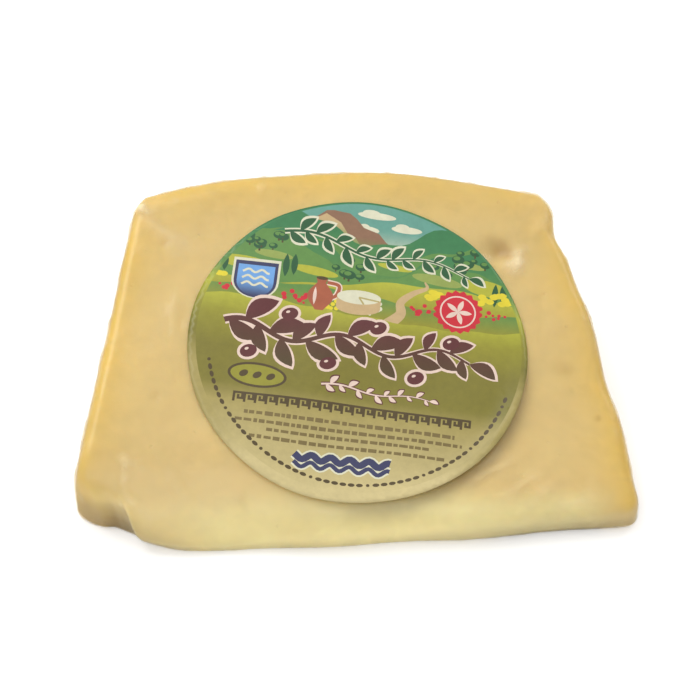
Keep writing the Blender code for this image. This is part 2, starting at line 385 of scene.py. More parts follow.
def smoothly(value):
    """Rises from 0 to 1 as the value does, level at both ends."""
    value = np.clip(value, 0.0, 1.0)
    return value * value * (3.0 - 2.0 * value)


def rising(value, start, blend):
    """0 up to the start, and from there up to 1 within the blend."""
    return smoothly((value - start) / blend)


def fading(value, start, blend):
    """1 up to the start, and from there down to 0 within the blend."""
    return 1.0 - rising(value, start, blend)


def softened(value, blend):
    """The value where it is positive and 0 elsewhere, with the bend rounded over."""
    return 0.5 * (value + np.sqrt(value * value + blend * blend))


def wave(place, wave_length):
    """Runs between -1 and 1, once for each wave length."""
    return np.sin(2.0 * math.pi * place / wave_length)


def noise_at(points, scale, stretch=(1.0, 1.0, 1.0)):
    """Smooth noise from -1 to 1 at each point, with about one lump for each 1 / scale."""
    scaled = points * (np.array(stretch) * scale)
    return np.array([noise.noise(Vector(point)) for point in scaled.tolist()])


# Points of the wedge's skin, how far across, back and up each one lies, which way it faces in the
# unit block, and how far the corner is cut back there.
Skin = namedtuple("Skin", "points across back up turn beyond")


def axis_places(steps, edge_steps):
    """Cuts along one axis of the unit block, with equal turns in its two edge zones."""
    turns = np.tan(0.25 * math.pi * np.arange(1, edge_steps + 1) / edge_steps)
    low = EDGE_ZONE * (1.0 - turns[::-1])
    middle = np.linspace(EDGE_ZONE, 1.0 - EDGE_ZONE, steps + 1)
    return np.concatenate([low, middle, 1.0 - low[::-1]])


def block_surface(steps, edge_steps):
    """Points and outward quads of the unit block's surface, cut into a grid."""
    places = [axis_places(count, edge_steps) for count in steps]
    counts = [len(place) for place in places]
    quads = []
    for axis in range(3):
        first, second = (axis + 1) % 3, (axis + 2) % 3
        u, v = np.meshgrid(np.arange(counts[first] - 1), np.arange(counts[second] - 1), indexing="ij")
        for end in (0, counts[axis] - 1):
            corners = np.zeros((u.size, 4, 3), int)
            corners[:, :, axis] = end
            for corner, (du, dv) in enumerate(((0, 0), (1, 0), (1, 1), (0, 1))):
                corners[:, corner, first] = u.ravel() + du
                corners[:, corner, second] = v.ravel() + dv
            quads.append(corners if end else corners[:, ::-1])
    quads = np.concatenate(quads)
    keys = np.ravel_multi_index(quads.reshape(-1, 3).T, counts)
    unique, index = np.unique(keys, return_inverse=True)
    spots = np.stack(np.unravel_index(unique, counts), axis=1)
    block = np.stack([places[axis][spots[:, axis]] for axis in range(3)], axis=1)
    return block, index.reshape(-1, 4)


def along(middle, turn, low, high):
    """A place from 0 to 1 on an axis whose round edges have these two radii."""
    return low + middle * (1.0 - low - high) + turn * np.where(turn < 0.0, low, high)


def label_y(form):
    """From the wheel's axis to the sticker's middle, along the ground."""
    return form.label_from_axis * math.cos(form.cut_angle)


def sector(form, block):
    """Points of the unit block moved onto the wheel's sector, how far across, back and up, and turn."""
    reach = (block - np.clip(block, EDGE_ZONE, 1.0 - EDGE_ZONE)) / EDGE_ZONE
    turn = reach / np.linalg.norm(reach, axis=1, keepdims=True)
    middle = np.clip((block - EDGE_ZONE) / (1.0 - 2.0 * EDGE_ZONE), 0.0, 1.0)
    depth = form.wheel_radius - form.tip_from_axis
    back = along(middle[:, 1], turn[:, 1], form.tip_radius / depth, form.rim_radius / depth)
    height = (form.tip_from_axis + back * depth) * math.tan(form.cut_angle)
    top_gain = form.top_radius_at_rim - form.top_radius_at_tip
    top_radius = form.top_radius_at_tip + top_gain * smoothly(back)
    up = along(middle[:, 2], turn[:, 2], form.base_radius / height, top_radius / height)
    side_radius = form.side_radius / (2.0 * form.axis_half_height)
    across = 2.0 * along(middle[:, 0], turn[:, 0], side_radius, side_radius) - 1.0
    tilt = np.arctan(up * math.tan(form.cut_angle))
    rim = (form.wheel_radius - form.rim_bulge * across**2) * np.cos(tilt)
    tip = form.tip_from_axis - form.tip_bulge * (1.0 - across**2)
    y = tip + back * (rim - tip)
    z = y * np.tan(tilt)
    belly = np.sin(math.pi * back)
    x = across * (form.axis_half_height - form.side_taper * np.hypot(y, z) + form.side_bulge * belly)
    x = x - form.label_offset_x - form.tip_shift * (1.0 - back) + form.side_lean * belly
    return np.stack([x, y - label_y(form), z], axis=1), across, back, up, turn


def broad_height(form, x, y):
    """Height over the ground of the cut face where the sticker lies, with its broad waves."""
    z = (y + label_y(form)) * math.tan(form.cut_angle) - x * math.tan(form.cut_roll)
    return z + form.wave_height * wave(x, form.wave_length_x) * wave(y, form.wave_length_y)


def facet_depth(form, x, y):
    """How far the steeper facet at the front left falls below the cut face."""
    ridge = form.facet_straight_y - form.facet_run * softened(x - form.facet_turn_x, form.facet_blend)
    return form.facet_drop * softened(ridge - y, form.facet_blend)


def cut_face_height(form, x, y):
    """Height over the ground of the whole cut face, with its facet and dent too."""
    away = np.hypot(x - form.dent_x, y - form.dent_y)
    dent = form.dent_depth * np.exp(-((away / form.dent_width) ** 2))
    return broad_height(form, x, y) - facet_depth(form, x, y) - dent


def corner_cut(form, x, y, up):
    """How far the front left corner is cut back at each point."""
    toward = math.cos(form.corner_direction), math.sin(form.corner_direction)
    overhang = (form.corner_reach_top - form.corner_reach_base) * up
    leaning = rising(x, form.corner_turn_x, form.corner_turn_run)
    spur = form.corner_spur * smoothly((form.corner_spur_x - x) / form.corner_spur_run)
    limit = form.corner_reach_base + overhang * leaning + spur
    return softened(x * toward[0] + y * toward[1] - limit, form.corner_blend)


def wedge_points(form, block):
    """Points of the unit block moved onto the wedge's outline, from below the sticker's middle."""
    points, across, back, up, turn = sector(form, block)
    x, y, z = points.T
    z = z * cut_face_height(form, x, y) / ((y + label_y(form)) * math.tan(form.cut_angle))
    nick = form.nick_depth * np.exp(-(((back - form.nick_back) / form.nick_width) ** 2))
    x = x + smoothly(across) * (form.side_wave * wave(y, form.side_wave_length) - nick)
    y = y + form.tip_wave * (1.0 - back) ** 3 * wave(x, form.tip_wave_length)
    beyond = corner_cut(form, x, y, up)
    x = x - beyond * math.cos(form.corner_direction)
    y = y - beyond * math.sin(form.corner_direction)
    return Skin(np.stack([x, y, z], axis=1), across, back, up, turn, beyond)


def in_frame(form, points):
    """Points measured from below the sticker's middle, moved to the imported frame."""
    return points - (form.middle_x, form.middle_y, 0.0)


def top_share(skin):
    """1 on the upper cut face, and 0 on the walls and below."""
    return rising(skin.turn[:, 2], 0.3, 0.4)


def wall_share(skin):
    """1 on the sides, the rim and the tip, and 0 on the two cut faces."""
    return fading(np.abs(skin.turn[:, 2]), 0.45, 0.45)


def tip_share(skin):
    """1 on the wall of the trimmed tip, and 0 elsewhere."""
    return rising(-skin.turn[:, 1], 0.0, 0.6)


def add_piece(name, points, faces, replaced):
    """Puts a mesh piece in the scene, on the wedge's body, in place of these solids."""
    mesh = bpy.data.meshes.new(name)
    mesh.from_pydata(points.tolist(), [], faces.tolist())
    mesh.shade_smooth()
    piece = bpy.data.objects.new(name, mesh)
    bpy.context.scene.collection.objects.link(piece)
    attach(piece, BODY)
    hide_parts(*replaced)
    return piece


def normals_of(mesh):
    """The mesh's vertex normals, as an array."""
    normals = np.empty(len(mesh.vertices) * 3, np.float32)
    mesh.vertices.foreach_get("normal", normals)
    return normals.reshape(-1, 3).astype(float)


def move_out(mesh, points, distances):
    """Moves each vertex this far along its normal, but not out of the solids' box."""
    moved = points + normals_of(mesh) * distances[:, None]
    mesh.vertices.foreach_set("co", np.clip(moved, *CAD_BOX).ravel())
    mesh.update()


def join_base(mesh):
    """Makes one face of the quads that lie flat on the ground."""
    bm = bmesh.new()
    bm.from_mesh(mesh)
    base = [face for face in bm.faces if all(vert.co.z < ON_GROUND for vert in face.verts)]
    bmesh.ops.dissolve_faces(bm, faces=base, use_verts=True)
    bm.to_mesh(mesh)
    bm.free()


def store(mesh, name, values):
    """Keeps one number for each vertex, for the material to read."""
    mesh.attributes.new(name, "FLOAT", "POINT").data.foreach_set("value", values.astype(np.float32))


def linear(screen):
    """A screen colour as the light that it stands for."""
    screen = np.asarray(screen, float)
    return np.where(screen <= 0.04045, screen / 12.92, ((screen + 0.055) / 1.055) ** 2.4)


def shader_colour(screen):
    """A screen colour as a node socket takes it."""
    return (*linear(screen), 1.0)


def new_material(name):
    """An empty node material."""
    material = bpy.data.materials.new(name)
    material.use_nodes = True
    material.node_tree.nodes.clear()
    return material


def add_node(tree, kind, inputs=None, **settings):
    """A node with these settings, and with each input set or linked."""
    made = tree.nodes.new(kind)
    for key, value in settings.items():
        setattr(made, key, value)
    for key, value in (inputs or {}).items():
        if isinstance(value, bpy.types.NodeSocket):
            tree.links.new(value, made.inputs[key])
        else:
            made.inputs[key].default_value = value
    return made


def mixed(tree, amount, first, second, blend="MIX"):
    """The first colour turning into the second by this amount."""
    inputs = {0: amount, 6: first, 7: second}
    return add_node(tree, "ShaderNodeMix", inputs, data_type="RGBA", blend_type=blend).outputs[2]


def maths(tree, operation, first, second, third=0.0, clamp=False):
    """One sum on numbers."""
    inputs = {0: first, 1: second, 2: third}
    return add_node(tree, "ShaderNodeMath", inputs, operation=operation, use_clamp=clamp).outputs[0]


def ranged(tree, value, low, high, to_low, to_high):
    """A number moved from one range to another and kept inside it."""
    inputs = {"Value": value, "From Min": low, "From Max": high, "To Min": to_low, "To Max": to_high}
    return add_node(tree, "ShaderNodeMapRange", inputs).outputs[0]


def varied(tree, texture, low, high):
    """A number between these two, as a noise texture has it."""
    return ranged(tree, texture, NOISE_LOW, NOISE_HIGH, low, high)


def multiplied(tree, first, second):
    """One colour multiplied by another."""
    return mixed(tree, 1.0, first, second, "MULTIPLY")


def grey(tree, value):
    """A number as a grey."""
    return add_node(tree, "ShaderNodeCombineColor", {0: value, 1: value, 2: value}).outputs[0]


def own_place(tree):
    """Each point's place in the object's own space."""
    return add_node(tree, "ShaderNodeTexCoord").outputs["Object"]


def cloudy(tree, scale, detail=3.0, roughness=0.5):
    """Noise from 0 to 1 in the object's own space, with this many lumps to the metre."""
    inputs = {"Vector": own_place(tree), "Scale": scale, "Detail": detail, "Roughness": roughness}
    return add_node(tree, "ShaderNodeTexNoise", inputs).outputs["Fac"]


def stored(tree, name):
    """A number kept on the mesh."""
    return add_node(tree, "ShaderNodeAttribute", attribute_name=name).outputs["Fac"]


def bumped(tree, height, distance, strength):
    """A normal with this relief."""
    inputs = {"Height": height, "Distance": distance, "Strength": strength}
    return add_node(tree, "ShaderNodeBump", inputs).outputs["Normal"]


def finish_with(tree, shader):
    """Links the shader to the material's output."""
    add_node(tree, "ShaderNodeOutputMaterial", {"Surface": shader})


def cheese_material(looks):
    """Pale pressed paste that turns golden at the rind, with a tan rind on the sides and the rim."""
    material = new_material("cheese")
    tree = material.node_tree
    clouds = cloudy(tree, 42.0, 2.0)
    mottle = cloudy(tree, 240.0, 4.0, 0.6)
    grain = cloudy(tree, 1900.0, 2.0, 0.6)
    near = maths(tree, "MULTIPLY", stored(tree, "near_rind"), varied(tree, clouds, 0.7, 1.2), clamp=True)
    paste = mixed(tree, near, shader_colour(looks.paste), shader_colour(looks.golden))
    # Paler paste at the tip and on the facet: partly young paste and partly a painted sheen.
    pale = maths(tree, "MULTIPLY", stored(tree, "pale"), varied(tree, clouds, 0.85, 1.1), clamp=True)
    paste = mixed(tree, pale, paste, shader_colour(looks.pale))
    patches = ranged(tree, mottle, 0.35, 0.7, 0.0, 1.0)
    rind = mixed(tree, patches, shader_colour(looks.rind_dark), shader_colour(looks.rind))
    skin = mixed(tree, stored(tree, "rind"), paste, rind)
    # Painted shade inside the small hollows.
    skin = mixed(tree, stored(tree, "hollow"), skin, shader_colour(looks.hollow))
    tone = maths(tree, "MULTIPLY", varied(tree, mottle, 0.965, 1.03), varied(tree, clouds, 0.975, 1.02))
    skin = multiplied(tree, skin, grey(tree, tone))
    # Painted shade from the ground, the undercut and the sticker's raised edge, kept in the low attribute.
    skin = multiplied(tree, skin, mixed(tree, stored(tree, "low"), WHITE, DEEP_SHADE))
    cells = add_node(tree, "ShaderNodeTexVoronoi", {"Vector": own_place(tree), "Scale": 230.0}).outputs
    chosen = ranged(tree, cells["Color"], 0.60, 0.68, 0.0, 1.0)
    pits = maths(tree, "MULTIPLY", ranged(tree, cells["Distance"], 0.0, 0.13, -1.0, 0.0), chosen)
    relief = maths(tree, "MULTIPLY_ADD", grain, 0.12, pits)
    coarse = maths(tree, "MULTIPLY_ADD", stored(tree, "rind"), 1.2, 0.25)
    relief = maths(tree, "MULTIPLY_ADD", mottle, coarse, relief)
    shader = add_node(tree, "ShaderNodeBsdfPrincipled", {
        "Base Color": skin,
        "Roughness": varied(tree, mottle, looks.roughness - 0.06, looks.roughness + 0.08),
        "Normal": bumped(tree, relief, looks.pit_depth, 0.6),
        "Subsurface Weight": looks.scatter,
        "Subsurface Radius": (1.0, 0.62, 0.28),
        "Subsurface Scale": looks.scatter_scale,
    })
    finish_with(tree, shader.outputs[0])
    return material


def film_material(looks):
    """Clear film that shows by its gloss, its whitening where gathered and its painted highlights."""
    material = new_material("vacuum film")
    tree = material.node_tree
    ripple = cloudy(tree, 420.0, 3.0, 0.55)
    scuff = cloudy(tree, 70.0, 3.0, 0.6)
    normal = bumped(tree, ripple, 0.0006, 0.35)
    facing = add_node(tree, "ShaderNodeFresnel", {"IOR": 1.5, "Normal": normal}).outputs[0]
    strength = varied(tree, scuff, looks.shine, 1.2 * looks.shine)
    shine = maths(tree, "MULTIPLY", facing, strength, clamp=True)
    clear = add_node(tree, "ShaderNodeBsdfTransparent", {"Color": shader_colour(looks.tint)})
    gloss = add_node(tree, "ShaderNodeBsdfGlossy", {
        "Color": WHITE,
        "Roughness": varied(tree, scuff, 0.8 * looks.roughness, 1.3 * looks.roughness),
        "Normal": normal,
    })
    skin = add_node(tree, "ShaderNodeMixShader", {0: shine, 1: clear.outputs[0], 2: gloss.outputs[0]})
    # Milky diffuse colour: the film's whitening where gathered, and painted highlights on creases, swellings
    # and rounded edges.
    milky = add_node(tree, "ShaderNodeBsdfDiffuse", {"Color": shader_colour(looks.milk_and_highlight), "Normal": normal})
    uneven = varied(tree, ripple, 0.5 * looks.haze, looks.haze)
    haze = maths(tree, "MULTIPLY", stored(tree, "haze"), uneven, clamp=True)
    shader = add_node(tree, "ShaderNodeMixShader", {0: haze, 1: skin.outputs[0], 2: milky.outputs[0]})
    finish_with(tree, shader.outputs[0])
    return material


def rind_share(skin):
    """How much each point belongs to the rind: 1 on the sides, the rim and the cut corner."""
    side = np.abs(skin.turn[:, 0])
    rim = np.maximum(skin.turn[:, 1], 0.0)
    tip = np.maximum(-skin.turn[:, 1], 0.0)
    rind = rising(np.maximum(side, rim), 0.72, 0.24) * fading(tip, 0.5, 0.3)
    corner = rising(skin.beyond / MM, 1.0, 2.0) * rising(-skin.points[:, 0] / MM, 56.5, 4.5)
    return np.maximum(rind, corner * fading(skin.up, 0.55, 0.45))


def pale_paste_and_sheen_share(form, skin):
    """How much each point is paler, young paste and painted sheen: most at the tip, a little on the facet."""
    x = skin.points[:, 0] / MM
    right = rising(x, 12.0, 30.0)
    reach, blend = 0.13 - 0.05 * right, 0.11 - 0.04 * right
    tip = smoothly((reach - skin.back) / blend)
    steep = rising(facet_depth(form, skin.points[:, 0], skin.points[:, 1]) / MM, 0.0, 6.0)
    right_end = fading(x, 48.0, 18.0)
    left_end = 1.0 - 0.55 * rising(-x, 34.0, 18.0)
    return np.maximum(tip, 0.3 * steep) * right_end * left_end


def rind_distance(form, skin):
    """How far each point of a cut face lies from the nearest rind edge."""
    from_rim = (1.0 - skin.back) * (form.wheel_radius - form.tip_from_axis)
    from_side = (1.0 - np.abs(skin.across)) * form.axis_half_height
    return np.minimum(from_rim, from_side)


def crease_relief(x, y):
    """Height in metres of the film's creases and swellings here, with whitening and painted highlights."""
    total, haze = np.zeros(len(x)), np.zeros(len(x))
    for crease in CREASES:
        start, end = np.array(crease.start) * MM, np.array(crease.end) * MM
        run = end - start
        span = np.linalg.norm(run)
        dx, dy = x - start[0], y - start[1]
        t = (dx * run[0] + dy * run[1]) / span**2
        off = (dy * run[0] - dx * run[1]) / span + 0.05 * span * np.sin(math.pi * np.clip(t, 0.0, 1.0))
        taper = smoothly(2.5 * t) * smoothly(2.0 * (1.0 - t))
        width = crease.width * MM * (0.75 + 0.25 * np.sin(9.0 * t + 20.0 * crease.height))
        ridge = taper * np.exp(-((off / width) ** 2))
        trough = taper * np.exp(-(((off - 1.6 * width) / (1.2 * width)) ** 2))
        total += crease.height * MM * (ridge - 0.5 * trough)
        haze += crease.haze * ridge
    for swelling in SWELLINGS:
        away = np.hypot(x / MM - swelling.place[0], y / MM - swelling.place[1])
        crown = np.exp(-((away / swelling.width) ** 2))
        total += swelling.height * MM * crown
        haze += swelling.haze * crown
    return total, haze


def hollow_relief(x, y):
    """Depth in metres of the cheese's small hollows at these places, and how dark their painted shade is."""
    depth, dark = np.zeros(len(x)), np.zeros(len(x))
    for hollow in HOLLOWS:
        away = np.hypot(x / MM - hollow.place[0], y / MM - hollow.place[1])
        bowl = np.exp(-((away / hollow.width) ** 2))
        depth += hollow.depth * MM * bowl
        dark += hollow.dark * bowl
    return depth, np.clip(dark, 0.0, 1.0)


def folds(points, fold):
    """Thin ridges from 0 to 1 that wander as the folds of tight film do."""
    return np.exp(-((noise_at(points + fold.shift, fold.rate, fold.stretch) / fold.width) ** 2))


def film_relief(form, looks, skin):
    """How far the film stands out from its tight skin, and its whitening and painted highlights there."""
    x, y = skin.points[:, 0], skin.points[:, 1]
    away = np.hypot(x, y / math.cos(form.cut_angle))
    bare = rising(away, BARE_FROM, BARE_BLEND)
    top, tip = top_share(skin), tip_share(skin)
    creases, milk_and_highlight = crease_relief(x, y)
    creases = creases * looks.crease_scale * top * bare
    ripples = looks.ripple * noise_at(skin.points, 260.0) * (0.2 + 0.8 * bare)
    fine = folds(skin.points, FINE_FOLDS) * smoothly(2.0 * noise_at(skin.points, 60.0))
    pleats = 0.8 * folds(skin.points, LEANING_FOLDS) + 0.5 * fine
    pleats = pleats * wall_share(skin) * (1.0 - 0.6 * tip)
    corner = rising(np.abs(skin.across) * skin.back, 0.70, 0.3)
    edge = np.exp(-(rind_distance(form, skin) / GATHER_REACH))
    gathered = folds(skin.points, GATHERED_FOLDS) * top * bare * np.maximum(corner, 0.6 * edge)
    relief = creases + ripples + looks.pleat * pleats + looks.gather * gathered
    rounded = smoothly(1.0 - np.abs(skin.turn[:, 2] - 0.42) / 0.42) * (1.0 - tip)
    # Pleats, gathers and corners whiten the film itself; creases, swellings and the upper edges add painted
    # highlights.
    haze = milk_and_highlight * top * bare + 0.15 * pleats + 0.20 * gathered + 0.20 * corner * top
    haze = haze + looks.edge_haze_and_highlight * rounded
    return relief, np.clip(haze, 0.0, 1.0)


def shadowed(form, looks, skin, placed):
    """How much each point is darkened where the film, the sticker and the ground keep light off."""
    x, y, height = skin.points[:, 0] / MM, skin.points[:, 1] / MM, placed[:, 2] / MM
    places, darks, heights = np.array(SHADES).T
    front = fading(y, FRONT_END, FRONT_BLEND)
    dark = np.interp(x, places, darks) * front + SIDE_SHADE.dark * (1.0 - front)
    reach = np.interp(x, places, heights) * front + SIDE_SHADE.height * (1.0 - front)
    foot = dark * fading(height, 0.0, reach) * fading(skin.turn[:, 2], 0.85, 0.15)
    cut = UNDERCUT
    undercut = rising(x, cut.start, cut.start_blend) * fading(x, cut.end, cut.end_blend)
    undercut = cut.dark * undercut * tip_share(skin) * fading(height, cut.height, cut.height_blend)
    along_face = y / math.cos(form.cut_angle)
    beyond = np.hypot(x, along_face) - looks.shade_from / MM
    aside = np.abs(np.arctan2(along_face, x) - SHADE_DIRECTION) / SHADE_SPREAD
    beside = np.exp(-((np.maximum(beyond, 0.0) * MM / looks.shade_reach) ** 2))
    beside = beside * looks.shade * smoothly(1.5 * (1.0 - aside)) * top_share(skin)
    return 1.0 - (1.0 - foot) * (1.0 - undercut) * (1.0 - beside)


class CheeseOperator(Operator):
    """Makes the cheese inside the film"""

    bl_idname = "packed_cheese.cheese"
    bl_label = "Cheese"

    def execute(self, context):
        form, looks = context.scene.wedge_form, context.scene.cheese_looks
        film = context.scene.film_looks
        block, quads = block_surface(CHEESE_CUTS, CHEESE_EDGE_CUTS)
        skin = wedge_points(form, block)
        placed = in_frame(form, skin.points)
        piece = add_piece("cheese", placed, quads, ["wedge"])
        mesh = piece.data
        rind, wall, top = rind_share(skin), wall_share(skin), top_share(skin)
        hollows, dark = hollow_relief(skin.points[:, 0], skin.points[:, 1])
        lumps = looks.lumps * noise_at(placed, 120.0) * (0.4 + 0.6 * rind)
        depth = looks.inset + film.inset + (film.wall_inset - film.inset) * wall
        move_out(mesh, placed, lumps - depth - hollows * top)
        cut_face = rising(np.abs(skin.turn[:, 2]), 0.3, 0.4)
        near = np.exp(-((rind_distance(form, skin) / looks.rind_reach) ** 1.4)) * cut_face
        store(mesh, "near_rind", near)
        store(mesh, "rind", rind)
        # Painted shade inside the small hollows, on the upper cut face.
        store(mesh, "hollow", dark * top)
        # Paler where young paste and a painted sheen of the film lie.
        store(mesh, "pale", pale_paste_and_sheen_share(form, skin) * (1.0 - rind) * (1.0 - 0.9 * near))
        # Painted shade at the foot of the walls, under the undercut and beside the sticker's raised edge.
        store(mesh, "low", shadowed(form, looks, skin, placed))
        mesh.materials.append(cheese_material(looks))
        return {"FINISHED"}


class FilmOperator(Operator):
    """Makes the clear film that is sucked tight to the cheese"""

    bl_idname = "packed_cheese.film"
    bl_label = "Vacuum Film"

    def execute(self, context):
        form, looks = context.scene.wedge_form, context.scene.film_looks
        block, quads = block_surface(FILM_CUTS, FILM_EDGE_CUTS)
        skin = wedge_points(form, block)
        placed = in_frame(form, skin.points)
        piece = add_piece("film", placed, quads, ["wedge"])
        mesh = piece.data
        relief, haze = film_relief(form, looks, skin)
        hollows, _ = hollow_relief(skin.points[:, 0], skin.points[:, 1])
        grounded = rising(-skin.turn[:, 2], 0.8, 0.2)
        depth = looks.inset + (looks.wall_inset - looks.inset) * wall_share(skin)
        move_out(mesh, placed, (relief - depth - 0.55 * hollows * top_share(skin)) * (1.0 - grounded))
        store(mesh, "haze", haze)
        join_base(mesh)
        mesh.materials.append(film_material(looks))
        return {"FINISHED"}


class Motif:
    """One flat shape of the print, in millimetres from the sticker's middle."""

    def __init__(self, outline, *stops):
        """The colour runs through the stops, each a height on the sticker and a screen colour."""
        self.outline = np.asarray(outline, float)
        self.stops = stops

    def holds(self, places):
        """Which of the places lie inside the outline."""
        low, high = self.outline.min(axis=0), self.outline.max(axis=0)
        near = np.nonzero(np.all((places >= low) & (places <= high), axis=1))[0]
        x, y = places[near, 0][:, None], places[near, 1][:, None]
        ax, ay = self.outline.T
        bx, by = np.roll(self.outline, -1, axis=0).T
        rise = np.where(by == ay, 1.0, by - ay)
        crossed = ((ay > y) != (by > y)) & (x < (bx - ax) * (y - ay) / rise + ax)
        inside = np.zeros(len(places), bool)
        inside[near] = crossed.sum(axis=1) % 2 == 1
        return inside

    def colours(self, heights):
        """The shape's colour at each height, as light."""
        places = [stop[0] for stop in self.stops]
        channels = [[linear(stop[1])[k] for stop in self.stops] for k in range(3)]
        return np.stack([np.interp(heights, places, channel) for channel in channels], axis=-1)


def plain(outline, tone):
    """A shape of one colour."""
    return Motif(outline, (0.0, tone))


def turned(px, py, turn, x, y):
    """Points turned by this angle and then moved to this place."""
    across = x + px * math.cos(turn) - py * math.sin(turn)
    up = y + px * math.sin(turn) + py * math.cos(turn)
    return np.stack([across, up], axis=1)


def oval(x, y, radius_x, radius_y=None, turn=0.0, count=20):
    """An oval's outline."""
    angles = np.linspace(0.0, 2.0 * math.pi, count, endpoint=False)
    return turned(radius_x * np.cos(angles), (radius_y or radius_x) * np.sin(angles), turn, x, y)


def strip(line, widths):
    """The outline of a line drawn with these widths."""
    line = np.asarray(line, float)
    run = np.gradient(line, axis=0)
    side = np.stack([-run[:, 1], run[:, 0]], axis=1) / np.linalg.norm(run, axis=1, keepdims=True)
    half = 0.5 * np.broadcast_to(widths, len(line))[:, None]
    return np.concatenate([line + side * half, (line - side * half)[::-1]])


def leaf(x, y, turn, long, wide, bend=0.12):
    """The outline of a pointed leaf that grows from this place."""
    t = np.linspace(0.0, 1.0, 9)
    middle = bend * long * np.sin(math.pi * t)
    half = 0.5 * wide * np.sin(math.pi * t) ** 0.8
    px = np.concatenate([t, t[-2:0:-1]]) * long
    py = np.concatenate([middle + half, (middle - half)[-2:0:-1]])
    return turned(px, py, turn, x, y)


def crest_line(level, *swells, peak=0.0, fall=0.0):
    """A crest line that falls off on both sides of its peak, with swells of this height, rate and start."""
    def crest(x):
        height = level - fall * np.abs(x - peak)
        for tall, rate, start in swells:
            height = height + tall * np.sin(rate * x + start)
        return height
    return crest


def land(crest, *which):
    """The outline of a stretch of land below a crest line."""
    x = np.linspace(-LAND_REACH, LAND_REACH, LAND_POINTS)
    ends = [(LAND_REACH, LAND_FLOOR), (-LAND_REACH, LAND_FLOOR)]
    return np.concatenate([np.stack([x, crest(x, *which)], axis=1), ends])


def sprig(line, leaves, long, wide, stem):
    """Outlines of a stem and of the leaves that leave it by turns on both sides."""
    line = np.asarray(line, float)
    outlines = [strip(line, np.linspace(stem, 0.4 * stem, len(line)))]
    run = np.gradient(line, axis=0)
    for k in range(leaves):
        at = int((k + 0.6) / leaves * (len(line) - 1))
        heading = math.atan2(run[at, 1], run[at, 0])
        size = 1.0 - 0.35 * k / leaves + 0.12 * math.sin(2.4 * k)
        turn = heading + (0.80 if k % 2 else -0.80)
        outlines.append(leaf(*line[at], turn, long * size, wide * size, 0.10 if k % 2 else -0.10))
    outlines.append(leaf(*line[-1], math.atan2(run[-1, 1], run[-1, 0]), 0.8 * long, 0.8 * wide))
    return outlines


def smooth_line(points, count):
    """A smooth line through these places."""
    points = np.asarray(points, float)
    padded = np.concatenate([2.0 * points[:1] - points[1:2], points, 2.0 * points[-1:] - points[-2:-1]])
    t = np.linspace(0.0, len(points) - 1.0, count)
    k = np.minimum(t.astype(int), len(points) - 2)
    t = (t - k)[:, None]
    a, b, c, d = (padded[k + step] for step in range(4))
    squared = (2.0 * a - 5.0 * b + 4.0 * c - d) * t**2
    cubed = (3.0 * b - a - 3.0 * c + d) * t**3
    return 0.5 * (2.0 * b + (c - a) * t + squared + cubed)


def far_crest(x):
    """Crest line of the far hills, which rise at both sides of the sky."""
    return 30.0 + 8.0 * smoothly(np.abs(x - 1.0) / 22.0) + 0.8 * np.sin(0.5 * x)


def near_crest(x, k):
    """Crest line of one of the nearer hills, counted from the farthest."""
    return far_crest(x) - 3.2 - 2.4 * k + 1.4 * np.sin(0.16 * x + 1.9 * k) - 0.03 * x * (k - 1)


def landscape(looks, draw):
    """Sky, a bare mountain, hills, terraces and meadows in the upper part of the print."""
    motifs = [Motif(land(crest_line(44.0)), (24.0, looks.cloud), (35.0, looks.sky), (42.0, looks.sky))]
    for x, y, wide in ((1.0, 38.9, 5.0), (9.0, 36.0, 4.0), (-1.0, 34.6, 3.0)):
        motifs.append(plain(oval(x, y, wide, 1.0), looks.cloud))
        motifs.append(plain(oval(x - 0.3 * wide, y + 0.7, 0.45 * wide, 0.9), looks.cloud))
    shaded = land(crest_line(40.0, (0.7, 0.9, 0.0), peak=-9.0, fall=0.62))
    sunlit = land(crest_line(38.4, (0.6, 1.3, 0.0), peak=-11.5, fall=0.95))
    motifs.append(Motif(shaded, (26.0, looks.hill), (32.0, looks.rock)))
    motifs.append(Motif(sunlit, (27.0, looks.hill), (36.0, looks.scree)))
    motifs.append(Motif(land(far_crest), (21.0, looks.hill), (33.0, looks.hill_dark)))
    for k in range(4):
        tone = (looks.hill_dark, looks.hill)[k % 2]
        motifs.append(Motif(land(near_crest, k), (19.0, looks.hill), (31.0 - k, tone)))
    fields = (
        (-31.0, 20.5, 7.5, 1.9, looks.meadow),
        (-24.0, 23.6, 5.0, 1.1, looks.field),
        (-13.0, 20.3, 6.0, 1.2, looks.meadow),
        (18.0, 22.2, 6.5, 1.5, looks.field),
        (30.5, 21.8, 6.0, 2.2, looks.meadow),
        (7.0, 24.5, 4.5, 0.9, looks.meadow),
        (26.0, 27.5, 4.0, 0.9, looks.field),
    )
    for x, y, wide, tall, tone in fields:
        motifs.append(plain(oval(x, y, wide, tall, -0.10), tone))
    terrace = land(crest_line(17.8, (2.2, 0.07, 0.4), (0.4, 0.31, 0.0)))
    slope = land(crest_line(14.6, (-1.6, 0.09, -0.3), (0.3, 0.4, 0.0)))
    motifs.append(Motif(terrace, (11.0, looks.olive), (19.0, looks.meadow)))
    motifs.append(Motif(slope, (8.5, looks.olive), (15.0, looks.hill)))
    path = smooth_line([(6.0, 7.0), (9.6, 10.8), (9.4, 14.2), (12.4, 17.4), (15.6, 19.4), (15.0, 21.2)], 31)
    motifs.append(plain(strip(path, np.linspace(3.2, 0.4, 31)), looks.scree))
    return motifs + trees(looks, draw) + flowers(looks, draw)


